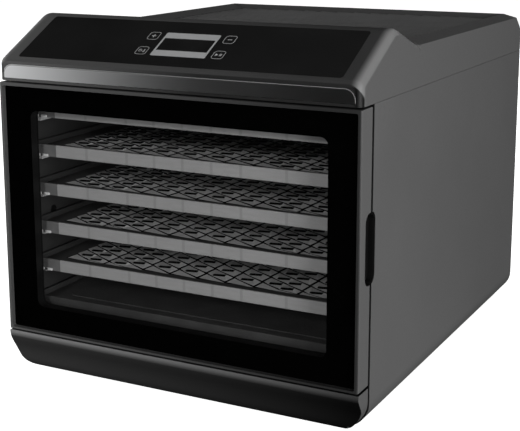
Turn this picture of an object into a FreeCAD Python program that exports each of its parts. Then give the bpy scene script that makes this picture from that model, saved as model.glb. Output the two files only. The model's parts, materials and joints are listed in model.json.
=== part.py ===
"""Cabinet food dehydrator: side-hinged glass door, six trays, rear fan and heater.

Frame: +X to the right seen from the front, +Y to the back, +Z up.  The origin is on the
surface that the feet stand on, under the middle of the overall box.  Lengths are in mm.
"""
import FreeCAD
import Part

import math
import os

import Sketcher

DIMENSIONS = {
    # outside of the case
    "case_width": 345.0,
    "case_depth": 450.0,
    "foot_height": 3.0,
    "foot_radius": 12.0,
    "sheet": 2.0,
    "skin": 2.5,
    "seam": 0.3,
    "bottom_round": 22.0,
    "rear_cover_depth": 14.0,
    "rear_cover_width": 190.0,
    "rear_cover_height": 150.0,
    # base front below the door
    "base_top": 40.3,
    "base_depth": 22.0,
    "base_corner": 25.0,
    # door
    "door_bottom": 41.6,
    "door_top": 269.5,
    "door_thickness": 21.2,
    "door_gap": 1.1,
    "door_rim": 3.0,
    "door_rim_low": 2.2,
    "window_side": 29.5,
    "window_end": 24.2,
    "window_corner": 7.0,
    "glass_thickness": 4.0,
    "hinge_inset": 8.0,
    "hinge_setback": 11.0,
    "pin_radius": 3.0,
    "pin_clearance": 0.05,
    "bush_radius": 4.0,
    "bush_length": 5.0,
    "door_recess": 8.4,
    "seal_width": 3.5,
    "seal_depth": 2.2,
    "seal_proud": 0.7,
    "pull_bottom": 128.5,
    "pull_height": 55.0,
    "pull_corner": 8.0,
    "pull_setback": 10.8,
    "pull_overlap": 9.0,
    # hood with the sloping control face
    "hood_bottom": 271.1,
    "hood_front_top": 289.8,
    "ridge_setback": 69.0,
    "ridge_height": 326.6,
    "slope_angle": 28.07,
    "notch_setback": 124.9,
    "roof_height": 310.6,
    "roof_bevel_width": 12.5,
    "roof_bevel_drop": 4.0,
    "roof_rear_setback": 38.0,
    "roof_rear_height": 292.6,
    "roof_panel_width": 292.0,
    "rib_pitch": 10.0,
    "rib_width": 5.0,
    "front_trim_width": 334.8,
    "front_trim_bottom": 273.6,
    "front_trim_height": 12.0,
    # control face
    "overlay_setback": 4.7,
    "overlay_width": 307.7,
    "overlay_length": 64.5,
    "overlay_thickness": 0.8,
    "display_width": 52.4,
    "display_start": 13.8,
    "display_length": 33.8,
    "screen_width": 49.2,
    "screen_start": 21.7,
    "screen_length": 18.0,
    "key_width": 11.4,
    "key_length": 12.0,
    "key_column": 36.8,
    "key_row_low": 19.7,
    "key_row_high": 41.9,
    "key_gap": 0.35,
    # drying cavity
    "cavity_half_width": 163.0,
    "cavity_floor": 49.0,
    "cavity_roof": 264.0,
    "cavity_back_setback": 330.0,
    # trays
    "tray_width": 322.0,
    "tray_length": 300.0,
    "tray_height": 10.9,
    "tray_setback": 23.5,
    "tray_lowest_top": 69.7,
    "tray_pitch": 35.5,
    "tray_wall": 2.5,
    "tray_border": 20.0,
    "tray_floor_drop": 4.7,
    "tray_floor_thickness": 1.6,
    "tray_corner": 8.0,
    "rail_depth": 8.0,
    "rail_thickness": 3.0,
    # fan and heater
    "fan_height": 156.0,
    "fan_radius": 62.0,
    "shaft_radius": 2.5,
    "motor_radius": 30.0,
    "motor_length": 40.0,
    "cord_hole_radius": 4.0,
}

TRAY_COUNT = 6
KEYS = {
    "key_plus": (-1, "key_row_high"),
    "key_temp_time": (-1, "key_row_low"),
    "key_minus": (1, "key_row_high"),
    "key_start_stop": (1, "key_row_low"),
}
AXES = {"x": FreeCAD.Vector(1, 0, 0), "y": FreeCAD.Vector(0, 1, 0), "z": FreeCAD.Vector(0, 0, 1)}

doc = FreeCAD.newDocument("food_dehydrator")
nodes = []


class Size:
    """A length with its value and the expression that ties it to the sheet."""

    def __init__(self, value, text):
        self.value = value
        self.text = text

    def __add__(self, other):
        other = as_size(other)
        return Size(self.value + other.value, f"({self.text} + {other.text})")

    def __sub__(self, other):
        other = as_size(other)
        return Size(self.value - other.value, f"({self.text} - {other.text})")

    def __radd__(self, other):
        return as_size(other) + self

    def __rsub__(self, other):
        return as_size(other) - self

    def __mul__(self, factor):
        factor = as_size(factor)
        return Size(self.value * factor.value, f"({self.text} * {factor.text})")

    def __truediv__(self, factor):
        return Size(self.value / factor, f"({self.text} / {factor})")

    def __neg__(self):
        return Size(-self.value, f"(0 - {self.text})")


def as_size(number):
    """A plain number as a Size; a Size stays as it is."""
    if isinstance(number, Size):
        return number
    return Size(float(number), f"({float(number)!r})")


class Sheet:
    """The spreadsheet of driving dimensions, read as attributes."""

    def __init__(self, dimensions):
        self._values = dimensions
        sheet = doc.addObject("Spreadsheet::Sheet", "dims")
        for row, (name, value) in enumerate(dimensions.items(), start=1):
            sheet.set(f"A{row}", name)
            sheet.set(f"B{row}", str(value))
            sheet.setAlias(f"B{row}", name)
        doc.recompute()

    def __getattr__(self, name):
        return Size(self._values[name], f"dims.{name}")


d = Sheet(DIMENSIONS)


def sine(angle):
    """Sine of an angle given in degrees."""
    return Size(math.sin(math.radians(angle.value)), f"sin({angle.text} * 1deg)")


def cosine(angle):
    """Cosine of an angle given in degrees."""
    return Size(math.cos(math.radians(angle.value)), f"cos({angle.text} * 1deg)")


# Places that many pieces share.
half_width = d.case_width / 2
front = -d.case_depth / 2
rear = d.case_depth / 2
back = rear - d.rear_cover_depth
floor = d.foot_height
case_front = front + d.door_thickness + d.door_gap
door_back = front + d.door_thickness
pivot_x = d.hinge_inset - half_width
pivot_y = front + d.hinge_setback
window_x = half_width - d.window_side
window_low = d.door_bottom + d.window_end
window_high = d.door_top - d.window_end
cavity_back = front + d.cavity_back_setback
slope_y = front + d.overlay_setback
slope_z = d.hood_front_top + d.overlay_setback * 0.5333
pull_top = d.pull_bottom + d.pull_height


def bind(item, path, size):
    """Tie a property of item to the sheet."""
    item.setExpression(path, as_size(size).text)


def box(x0, x1, y0, y1, corner=None):
    """Sketch outline: a rectangle, with rounded corners if a radius is given."""
    sides = [as_size(side) for side in (x0, x1, y0, y1)]
    return ("box", sides, corner)


def polygon(*points):
    """Sketch outline: straight lines through the points."""
    return ("polygon", [(as_size(x), as_size(y)) for x, y in points])


def circle(x, y, radius):
    """Sketch outline: a circle."""
    return ("circle", as_size(x), as_size(y), as_size(radius))


def pin_point(sketch, index, end, place):
    """Fix one point of the sketch at a place given by two sizes."""
    for kind, size in zip(("DistanceX", "DistanceY"), place):
        number = sketch.addConstraint(Sketcher.Constraint(kind, -1, 1, index, end, size.value))
        bind(sketch, f"Constraints[{number}]", size)


def draw_polygon(sketch, points):
    """Closed chain of lines whose corners follow the sheet."""
    first = sketch.GeometryCount
    count = len(points)
    corners = [FreeCAD.Vector(x.value, y.value, 0) for x, y in points]
    for here in range(count):
        sketch.addGeometry(Part.LineSegment(corners[here], corners[(here + 1) % count]))
    for here in range(count):
        following = first + (here + 1) % count
        sketch.addConstraint(Sketcher.Constraint("Coincident", first + here, 2, following, 1))
        pin_point(sketch, first + here, 1, points[here])


def draw_rounded_box(sketch, sides, corner):
    """Rectangle with quarter-circle corners, drawn anticlockwise from the bottom side."""
    x0, x1, y0, y1 = sides
    r = as_size(corner)
    first = sketch.GeometryCount
    ends = [((x0 + r, y0), (x1 - r, y0)), ((x1, y0 + r), (x1, y1 - r)),
            ((x1 - r, y1), (x0 + r, y1)), ((x0, y1 - r), (x0, y0 + r))]
    centres = [(x1 - r, y0 + r), (x1 - r, y1 - r), (x0 + r, y1 - r), (x0 + r, y0 + r)]
    quarter = math.pi / 2
    for turn, (line, centre) in enumerate(zip(ends, centres)):
        start, end = [FreeCAD.Vector(x.value, y.value, 0) for x, y in line]
        middle = FreeCAD.Vector(centre[0].value, centre[1].value, 0)
        whole = Part.Circle(middle, AXES["z"], r.value)
        sketch.addGeometry(Part.LineSegment(start, end))
        sketch.addGeometry(Part.ArcOfCircle(whole, (turn - 1) * quarter, turn * quarter))
    for turn, (start, end) in enumerate(ends):
        line = first + 2 * turn
        arc = line + 1
        following = first + 2 * ((turn + 1) % 4)
        pin_point(sketch, line, 1, start)
        pin_point(sketch, line, 2, end)
        sketch.addConstraint(Sketcher.Constraint("Coincident", line, 2, arc, 1))
        sketch.addConstraint(Sketcher.Constraint("Coincident", arc, 2, following, 1))
        number = sketch.addConstraint(
            Sketcher.Constraint("DistanceX", -1, 1, arc, 3, centres[turn][0].value))
        bind(sketch, f"Constraints[{number}]", centres[turn][0])


def draw_circle(sketch, x, y, radius):
    """Circle whose centre and radius follow the sheet."""
    centre = FreeCAD.Vector(x.value, y.value, 0)
    index = sketch.addGeometry(Part.Circle(centre, AXES["z"], radius.value))
    pin_point(sketch, index, 3, (x, y))
    number = sketch.addConstraint(Sketcher.Constraint("Radius", index, radius.value))
    bind(sketch, f"Constraints[{number}]", radius)


def draw(sketch, shape):
    """Add one outline to a sketch."""
    if shape[0] == "polygon":
        draw_polygon(sketch, shape[1])
    elif shape[0] == "circle":
        draw_circle(sketch, *shape[1:])
    elif shape[2] is not None:
        draw_rounded_box(sketch, shape[1], shape[2])
    else:
        x0, x1, y0, y1 = shape[1]
        draw_polygon(sketch, [(x0, y0), (x1, y0), (x1, y1), (x0, y1)])


def origin_item(body, role):
    """A plane or axis of the body's own origin."""
    return next(item for item in body.Origin.OriginFeatures if item.Role == role)


def sketch_on(body, plane, level, shapes):
    """Sketch at a level above XY, XZ or YZ, or above the sloping control face."""
    sketch = body.newObject("Sketcher::SketchObject", f"{body.Name}_sketch")
    support = "XY" if plane == "slope" else plane
    sketch.AttachmentSupport = [(origin_item(body, f"{support}_Plane"), "")]
    sketch.MapMode = "FlatFace"
    level = as_size(level)
    if plane == "slope":
        sketch.AttachmentOffset = FreeCAD.Placement(
            FreeCAD.Vector(), FreeCAD.Rotation(AXES["x"], d.slope_angle.value))
        bind(sketch, "AttachmentOffset.Rotation.Angle", d.slope_angle)
        bind(sketch, "AttachmentOffset.Base.y", slope_y - sine(d.slope_angle) * level)
        bind(sketch, "AttachmentOffset.Base.z", slope_z + cosine(d.slope_angle) * level)
    else:
        bind(sketch, "AttachmentOffset.Base.z", -level if plane == "XZ" else level)
    for shape in shapes:
        draw(sketch, shape)
    return sketch


def extrude(body, kind, plane, start, end, shapes):
    """Pad or Pocket between two levels, given as distances along the plane's row axis."""
    feature = body.newObject(f"PartDesign::{kind}", f"{body.Name}_{kind.lower()}")
    feature.Profile = sketch_on(body, plane, start, shapes)
    normal_is_forward = plane != "XZ"
    feature.Reversed = normal_is_forward != (kind == "Pad")
    bind(feature, "Length", as_size(end) - as_size(start))
    body.Tip = feature
    return feature


def pad(body, plane, start, end, *shapes):
    """Add material between two levels."""
    return extrude(body, "Pad", plane, start, end, shapes)


def pocket(body, plane, start, end, *shapes):
    """Remove material between two levels."""
    doc.recompute()
    before = body.Shape.Volume
    feature = extrude(body, "Pocket", plane, start, end, shapes)
    doc.recompute()
    if body.Shape.Volume > before - 1e-6:
        raise RuntimeError(f"{feature.Name} removed nothing")
    return feature


def body_named(name, is_node=True):
    """A new body; a node is written to its own file."""
    body = doc.addObject("PartDesign::Body", name)
    body.Label = name
    if is_node:
        nodes.append(body)
    return body


def plate(name, x0, x1, y0, y1, z0, z1, corner=None):
    """A flat body that lies parallel to XY."""
    body = body_named(name)
    pad(body, "XY", z0, z1, box(x0, x1, y0, y1, corner))
    return body


def round_edges(body, kind, amount, test):
    """Fillet or Chamfer the edges of the body's last feature that pass the test."""
    doc.recompute()
    last = body.Tip
    chosen = [f"Edge{i}" for i, edge in enumerate(last.Shape.Edges, start=1) if test(edge)]
    if not chosen:
        raise RuntimeError(f"{body.Name} has no edge to round")
    feature = body.newObject(f"PartDesign::{kind}", f"{body.Name}_{kind.lower()}")
    feature.Base = (last, chosen)
    bind(feature, "Radius" if kind == "Fillet" else "Size", amount)
    body.Tip = feature
    doc.recompute()
    return feature


def parallel(edge, axis):
    """Whether a straight edge runs along a row axis."""
    if edge.Curve.TypeId != "Part::GeomLine":
        return False
    return abs(edge.Curve.Direction.dot(AXES[axis])) > 0.999


def passes(edge, **place):
    """Whether the middle of an edge is at the given coordinates, to 0.1 mm."""
    centre = edge.BoundBox.Center
    return all(abs(getattr(centre, axis) - as_size(size).value) < 0.1 for axis, size in place.items())


def repeat(body, feature, axis, pitch, count, backwards=False):
    """Repeat a feature along a row axis."""
    doc.recompute()
    pattern = body.newObject("PartDesign::LinearPattern", f"{body.Name}_pattern")
    pattern.Originals = [feature]
    pattern.Direction = (origin_item(body, f"{axis.upper()}_Axis"), [""])
    pattern.Reversed = backwards
    bind(pattern, "Length", as_size(pitch) * (count - 1))
    pattern.Occurrences = count
    body.Tip = pattern
    doc.recompute()
    return pattern


def repeat_round(body, feature, axis, count):
    """Repeat a feature evenly in a full turn about a row axis."""
    doc.recompute()
    pattern = body.newObject("PartDesign::PolarPattern", f"{body.Name}_polar")
    pattern.Originals = [feature]
    pattern.Axis = (origin_item(body, f"{axis.upper()}_Axis"), [""])
    pattern.Angle = 360
    pattern.Occurrences = count
    body.Tip = pattern
    doc.recompute()
    return pattern


# ---------------------------------------------------------------- case


def side_panel(side):
    """Sheet side with a rolled bottom edge and a short return under the case."""
    name = "side_panel_left" if side < 0 else "side_panel_right"
    body = body_named(name)
    outer = half_width * side
    inner = (half_width - d.sheet) * side
    lip = (half_width - d.bottom_round - 10.5) * side
    top = d.hood_bottom - d.seam
    pad(body, "XZ", case_front, back, polygon(
        (outer, top), (inner, top), (inner, floor + d.sheet), (lip, floor + d.sheet),
        (lip, floor), (outer, floor)))
    round_edges(body, "Fillet", d.bottom_round,
                lambda edge: parallel(edge, "y") and passes(edge, x=outer, z=floor))
    round_edges(body, "Fillet", d.bottom_round - d.sheet,
                lambda edge: parallel(edge, "y") and passes(edge, x=inner, z=floor + d.sheet))
    low = min((inner, outer), key=lambda size: size.value)
    high = max((inner, outer), key=lambda size: size.value)
    pocket(body, "YZ", low, high, circle(case_front + 18.8, d.hood_bottom - 10.0, 6.1))
    if side > 0:
        pocket(body, "YZ", low, high, box(case_front - 20.0, case_front + d.pull_overlap,
                                          d.pull_bottom - 2.2, pull_top + 2.2, d.pull_corner))
    return body


def bottom_plate():
    """Floor of the case with cooling slots under the motor compartment."""
    edge = half_width - d.bottom_round - 10.7
    body = plate("bottom_plate", -edge, edge, case_front + 0.3, back - d.sheet - 0.2,
                 floor, floor + d.sheet)
    slot = pocket(body, "XY", floor - 1.0, floor + d.sheet + 1.0,
                  box(-100.0, -96.0, cavity_back + 25.0, cavity_back + 75.0))
    repeat(body, slot, "x", 14.0, 15)
    return body


def front_frame():
    """Ring that the door closes against."""
    body = body_named("front_frame")
    edge = half_width - d.sheet - 0.2
    pad(body, "XZ", case_front, case_front + d.sheet,
        box(-edge, edge, d.base_top + 0.3, d.hood_bottom - 0.5),
        box(-d.cavity_half_width, d.cavity_half_width, d.cavity_floor, d.cavity_roof, 4.0))
    pocket(body, "XZ", case_front - 1.0, case_front + d.sheet + 1.0,
           box(d.cavity_half_width + 2.2, edge + 1.0, d.pull_bottom - 2.2, pull_top + 2.2))
    return body


def base_front():
    """Chin below the door: its face leans back, and its lower corners are round."""
    body = body_named("base_front")
    rear_face = front + d.base_depth - 0.3
    fold = d.base_top - 6.2
    foot = d.base_top - 20.6
    pad(body, "YZ", -half_width, half_width, polygon(
        (front, d.base_top), (front + 0.7, fold), (front + 8.7, foot),
        (front + 9.3, floor), (rear_face, floor), (rear_face, d.base_top)))
    for radius, y, z in ((11.0, front + 9.3, floor), (26.0, front + 8.7, foot),
                         (16.0, front + 0.7, fold), (0.6, front, d.base_top)):
        round_edges(body, "Fillet", radius,
                    lambda edge: parallel(edge, "x") and passes(edge, y=y, z=z))
    far = d.case_width
    pocket(body, "XZ", front - 1.0, rear_face + 1.0, box(-far, far, -far, far),
           box(-half_width, half_width, floor, d.base_top + 60.0, d.base_corner))
    wall = d.skin
    pocket(body, "XZ", front + 13.0, rear_face + 1.0,
           box(wall - half_width, half_width - wall, floor + wall, d.base_top + 60.0,
               d.base_corner - wall))
    pad(body, "XZ", front + 12.5, rear_face,
        box(wall - half_width - 0.5, half_width - wall + 0.5, d.base_top - wall, d.base_top))
    pocket(body, "XY", lower_bracket() - 0.2, d.base_top + 1.0,
           circle(pivot_x, pivot_y, d.pin_radius + 0.2))
    pocket(body, "XY", lower_bracket() - 0.2, lower_bracket() + 2.7,
           box(pivot_x - 5.5, pivot_x + 22.5, pivot_y - 6.5, rear_face + 1.0))
    return body


def lower_bracket():
    """Underside of the hinge plate in the chin."""
    return d.base_top - 5.5


def hood_profile():
    """Outline of the hood seen from the side, from its front bottom corner upward."""
    return [(front, d.hood_bottom), (front, d.hood_front_top),
            (front + d.ridge_setback, d.ridge_height),
            (front + d.notch_setback, d.roof_height - d.roof_bevel_drop),
            (front + d.notch_setback, d.roof_height),
            (rear - d.roof_rear_setback, d.roof_height), (back, d.roof_rear_height),
            (back, d.hood_bottom)]


def hood_hollow():
    """Inside of the hood: the outline set in by the skin, flattened under the ridge."""
    skin = d.skin
    ceiling = d.roof_height - 6.4
    return polygon(
        (front + skin, d.hood_bottom - 1.0), (front + skin, d.hood_front_top - 1.7),
        (front + 60.0, d.hood_front_top + 29.1), (front + 82.0, d.hood_front_top + 29.1),
        (front + 117.0, ceiling), (rear - d.roof_rear_setback, ceiling),
        (back - skin, d.roof_rear_height - 3.6), (back - skin, d.hood_bottom - 1.0))


def hood():
    """Top cover: sloping control face, ridge, and a flat roof with a sunk ribbed panel."""
    body = body_named("hood")
    pad(body, "YZ", -half_width, half_width, polygon(*hood_profile()))
    round_edges(body, "Fillet", 20.0, lambda edge: parallel(edge, "x")
                and passes(edge, y=front + d.ridge_setback, z=d.ridge_height))
    round_edges(body, "Fillet", 8.0, lambda edge: parallel(edge, "x")
                and passes(edge, y=front, z=d.hood_front_top))
    ridge = (front + d.ridge_setback).value
    round_edges(body, "Fillet", 7.0, lambda edge: not parallel(edge, "x") and not parallel(edge, "z")
                and abs(abs(edge.BoundBox.Center.x) - half_width.value) < 0.1
                and edge.BoundBox.Center.y < ridge and edge.BoundBox.Center.z > d.hood_bottom.value + 2)
    pocket(body, "YZ", d.skin - half_width, half_width - d.skin, hood_hollow())
    bevel_low = d.roof_height - d.roof_bevel_drop
    notch = front + d.notch_setback
    for side in (-1, 1):
        pocket(body, "XZ", notch, back + 1.0, polygon(
            (half_width * side, bevel_low), ((half_width - d.roof_bevel_width) * side, d.roof_height),
            ((half_width - d.roof_bevel_width) * side, d.roof_height + 5.0),
            ((half_width + 1.0) * side, d.roof_height + 5.0), ((half_width + 1.0) * side, bevel_low)))
    trough_top = half_width - d.roof_bevel_width
    trough_low = d.roof_panel_width / 2
    slant_drop = 4.2
    pocket(body, "XZ", notch + 6.0, rear - d.roof_rear_setback - 4.0, polygon(
        (-trough_top, d.roof_height + 0.2), (-trough_low, d.roof_height - slant_drop),
        (trough_low, d.roof_height - slant_drop), (trough_top, d.roof_height + 0.2)))
    pocket(body, "XY", d.roof_height - 8.0, d.roof_height,
           box(-trough_low, trough_low, notch + 6.0, rear - d.roof_rear_setback - 4.0))
    cut_control_face(body)
    trim_half = d.front_trim_width / 2 + 0.2
    pocket(body, "XZ", front, front + 1.2, box(
        -trim_half, trim_half, d.front_trim_bottom - 0.2,
        d.front_trim_bottom + d.front_trim_height + 0.2, 2.0))
    return body


def cut_control_face(body):
    """Sunk seat for the overlay, and openings for the screen module and the key stems."""
    edge = d.overlay_width / 2 + 0.2
    pocket(body, "slope", -d.overlay_thickness, 30.0, box(-edge, edge, -0.2, d.overlay_length + 0.2, 3.0))
    half_screen = d.screen_width / 2 + 1.0
    pocket(body, "slope", -8.0, 0.0, box(-half_screen, half_screen, d.screen_start - 1.0,
                                         d.screen_start + d.screen_length + 1.0))
    pocket(body, "slope", -8.0, 0.0, *[key_outline(side, row, 0.6) for side, row in KEYS.values()])


def key_outline(side, row_name, gap):
    """Rounded outline of one key, enlarged by a gap."""
    x = d.key_column * side
    s = getattr(d, row_name)
    half_x = d.key_width / 2 + gap
    half_s = d.key_length / 2 + gap
    return box(x - half_x, x + half_x, s - half_s, s + half_s, 2.0)


def hood_underplate():
    """Floor of the control housing, over the door."""
    edge = half_width - d.skin - 0.2
    body = plate("hood_underplate", -edge, edge, front + d.skin + 0.2, case_front + 3.0,
                 d.hood_bottom, d.hood_bottom + d.sheet)
    pocket(body, "XY", d.hood_bottom - 1.0, d.hood_bottom + 5.0,
           circle(pivot_x, pivot_y, d.pin_radius + 0.2))
    return body


def hood_front_trim():
    """Bright strip let into the front of the hood."""
    body = body_named("hood_front_trim")
    half = d.front_trim_width / 2
    top = d.front_trim_bottom + d.front_trim_height
    pad(body, "XZ", front + 0.1, front + 1.2, box(-half, half, d.front_trim_bottom, top))
    round_edges(body, "Fillet", 9.5, lambda edge: parallel(edge, "y") and passes(edge, z=top))
    round_edges(body, "Fillet", 1.5, lambda edge: parallel(edge, "y")
                and passes(edge, z=d.front_trim_bottom))
    return body


def top_grille():
    """Ribbed panel sunk in the roof."""
    body = body_named("top_grille")
    half = d.roof_panel_width / 2 - 0.3
    start = front + d.notch_setback + 6.3
    end = rear - d.roof_rear_setback - 4.3
    top = d.roof_height - 4.4
    pad(body, "XY", top - 4.0, top - 2.1, box(-half - 4.0, half + 4.0, start - 4.0, end + 4.0))
    pad(body, "XY", top - 2.1, top - 1.2, box(-half, half, start, end))
    pad(body, "XY", top - 1.2, top, *slanting_ribs(half - 1.2, start + 1.5, end - 1.5))
    return body


def slanting_ribs(half, start, end):
    """Outlines of ribs that run to the right and forward, each cut off square at the ends."""
    fall = 0.5
    ribs = []
    place = start + 8.0
    while place.value < (end + half * 2 * fall - 12.0).value:
        top = place + d.rib_width
        left = -half if top.value <= end.value else (top - end) / fall - half
        right = half if (place - half * 2 * fall).value >= start.value else (place - start) / fall - half
        ribs.append(polygon(*[(x, edge - (x + half) * fall) for x, edge in (
            (left, place), (right, place), (right, top), (left, top))]))
        place = place + d.rib_pitch
    return ribs


def rear_panel():
    """Back wall with the air inlet, the exhaust slots and the cord hole."""
    body = body_named("rear_panel")
    edge = half_width - d.sheet - 0.2
    low = floor + d.sheet + 0.2
    pad(body, "XZ", back - d.sheet, back, box(-edge, edge, low, d.fan_height, d.bottom_round - 2.2))
    pad(body, "XZ", back - d.sheet, back, box(-edge, edge, low + 60.0, d.hood_bottom - 0.3))
    pocket(body, "XZ", back - 5.0, back + 1.0, circle(0.0, d.fan_height, 50.0))
    pocket(body, "XZ", back - 5.0, back + 1.0, circle(*cord_place(), d.cord_hole_radius + 4.2))
    pocket(body, "XZ", back - 5.0, back + 1.0,
           *[circle(x, z, 1.5) for x, z in rear_screw_places()])
    slot = pocket(body, "XZ", back - 5.0, back + 1.0, box(-62.0, -58.0, 246.0, 264.0, 1.9))
    repeat(body, slot, "x", 8.0, 16)
    return body


def cord_place():
    """Where the cord hole is on the back wall."""
    return as_size(120.0), floor + 42.0


def rear_screw_places():
    """Screws that hold the back wall."""
    edge = half_width - 10.0
    return [(x, z) for x in (-edge, edge) for z in (floor + 28.0, d.fan_height, d.hood_bottom - 12.0)]


def rear_vent_cover():
    """Box-shaped louvred cover that keeps the air inlet off the wall."""
    body = body_named("rear_vent_cover")
    half_x = d.rear_cover_width / 2
    half_z = d.rear_cover_height / 2
    low = d.fan_height - half_z
    high = d.fan_height + half_z
    pad(body, "XZ", back, rear, box(-half_x, half_x, low, high, 10.0))
    round_edges(body, "Fillet", 3.0, lambda edge: passes(edge, y=rear))
    pocket(body, "XZ", back, rear - 2.0, box(2.0 - half_x, half_x - 2.0, low + 2.0, high - 2.0, 8.0))
    slot = pocket(body, "XZ", rear - 3.0, rear + 1.0,
                  box(-75.0, 75.0, low + 18.0, low + 22.0, 1.9))
    repeat(body, slot, "z", 9.5, 13)
    return body


def cord_gland():
    """Bush in the back wall that the mains lead comes through."""
    body = body_named("cord_gland")
    bore = circle(*cord_place(), d.cord_hole_radius)
    pad(body, "XZ", back - 8.0, back, circle(*cord_place(), d.cord_hole_radius + 4.0), bore)
    pad(body, "XZ", back, back + 8.0, circle(*cord_place(), d.cord_hole_radius + 6.0), bore)
    round_edges(body, "Fillet", 1.5, lambda edge: edge.BoundBox.YMin > back.value + 7.9
                and edge.BoundBox.XLength > 2 * d.cord_hole_radius.value + 4.0)
    return body


def feet():
    """Four rubber feet."""
    places = [(x, y) for x in (-124.0, 124.0) for y in (front + 50.0, back - 30.0)]
    body = doc.addObject("Part::MultiFuse", "feet")
    parts = []
    for x, y in places:
        foot = doc.addObject("Part::Cone", "foot")
        bind(foot, "Radius1", d.foot_radius - 1.0)
        bind(foot, "Radius2", d.foot_radius)
        bind(foot, "Height", d.foot_height)
        bind(foot, "Placement.Base.x", x)
        bind(foot, "Placement.Base.y", y)
        parts.append(foot)
    body.Shapes = parts
    body.Label = "feet"
    nodes.append(body)


def cylinder_group(name, places, radius, start, length, axis):
    """Separate equal cylinders along a row axis, kept as one node."""
    parts = []
    for place in places:
        one = doc.addObject("Part::Cylinder", f"{name}_one")
        bind(one, "Radius", radius)
        bind(one, "Height", length)
        if axis == "y":
            one.Placement.Rotation = FreeCAD.Rotation(AXES["x"], -90)
            spot = (place[0], start, place[1])
        elif axis == "x":
            one.Placement.Rotation = FreeCAD.Rotation(AXES["y"], 90)
            spot = (start, place[0], place[1])
        else:
            spot = (place[0], place[1], start)
        for letter, size in zip("xyz", spot):
            bind(one, f"Placement.Base.{letter}", size)
        parts.append(one)
    return parts


def group(name, parts):
    """Join separate solids in one node."""
    body = doc.addObject("Part::MultiFuse" if len(parts) > 1 else "Part::Compound", name)
    if len(parts) > 1:
        body.Shapes = parts
    else:
        body.Links = parts
    body.Label = name
    nodes.append(body)
    return body


def case_screws():
    """Screws of the back wall: a head on the wall and a shank in its hole."""
    places = rear_screw_places()
    heads = cylinder_group("case_screws", places, 3.6, back, 1.8, "y")
    shanks = cylinder_group("case_screws", places, 1.5, back - 7.0, 7.0, "y")
    for head in heads:
        head.Label = "screw head"
    group("case_screws", heads + shanks)


def screw_caps():
    """Round caps near the front top corner of each side."""
    place = [(case_front + 18.8, d.hood_bottom - 10.0)]
    left = cylinder_group("screw_caps", place, 6.0, -half_width, d.sheet, "x")
    right = cylinder_group("screw_caps", place, 6.0, half_width - d.sheet, d.sheet, "x")
    group("screw_caps", left + right)


def pull_recess_cup():
    """Moulded cup behind the finger opening in the right side."""
    body = body_named("pull_recess_cup")
    deep = d.cavity_half_width + 2.4
    pad(body, "YZ", deep, half_width - 0.2, box(
        case_front - 20.0, case_front + d.pull_overlap - 0.2, d.pull_bottom - 2.0, pull_top + 2.0,
        d.pull_corner))
    pocket(body, "YZ", deep + 1.6, half_width, box(
        case_front - 20.0, case_front + d.pull_overlap - 1.7, d.pull_bottom, pull_top,
        d.pull_corner - 1.5))
    pocket(body, "YZ", deep - 1.0, half_width, box(
        case_front - 21.0, case_front + 0.2, d.pull_bottom - 3.0, pull_top + 3.0))
    return body


# ---------------------------------------------------------------- controls


def control_overlay():
    """Glossy control sheet with openings for the keys and the display frame."""
    body = body_named("control_overlay")
    half = d.overlay_width / 2
    half_display = d.display_width / 2 + 0.1
    shapes = [box(-half, half, 0.0, d.overlay_length, 2.8),
              box(-half_display, half_display, d.display_start - 0.1,
                  d.display_start + d.display_length + 0.1)]
    shapes += [key_outline(side, row, d.key_gap) for side, row in KEYS.values()]
    pad(body, "slope", -d.overlay_thickness, 0.1, *shapes)
    return body


def display_parts():
    """Silver display frame, its dark screen and the module below."""
    half_frame = d.display_width / 2
    half_screen = d.screen_width / 2
    screen_end = d.screen_start + d.screen_length
    bezel = body_named("display_bezel")
    pad(bezel, "slope", -d.overlay_thickness, 0.25,
        box(-half_frame, half_frame, d.display_start, d.display_start + d.display_length, 1.5),
        box(-half_screen, half_screen, d.screen_start, screen_end))
    lens = body_named("display_lens")
    pad(lens, "slope", -d.overlay_thickness, 0.1,
        box(0.05 - half_screen, half_screen - 0.05, d.screen_start + 0.05, screen_end - 0.05))
    module = body_named("display_module")
    pad(module, "slope", -7.4, -d.overlay_thickness - 0.2,
        box(1.0 - half_screen, half_screen - 1.0, d.screen_start + 1.0, screen_end - 1.0))


def keys():
    """Four short-travel keys, each with a stem over its switch."""
    for name, (side, row) in KEYS.items():
        body = body_named(name)
        pad(body, "slope", -2.4, 0.2, key_outline(side, row, 0.0))
        pad(body, "slope", -5.2, -2.4, circle(d.key_column * side, getattr(d, row), 2.5))


def control_boards():
    """Circuit board under the control face with its switches and stand-offs."""
    board = body_named("control_board")
    pad(board, "slope", -9.0, -7.4, box(-58.0, 58.0, 8.0, 54.0, 2.0))
    switches = body_named("tact_switches")
    places = [(d.key_column * side, getattr(d, row)) for side, row in KEYS.values()]
    pad(switches, "slope", -7.4, -6.2, *[box(x - 3.0, x + 3.0, s - 3.0, s + 3.0) for x, s in places])
    posts = body_named("board_standoffs")
    pad(posts, "slope", -7.4, -d.skin - 0.6,
        *[circle(x, s, 2.5) for x in (-54.0, 54.0) for s in (12.0, 50.0)])


# ---------------------------------------------------------------- door


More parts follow.
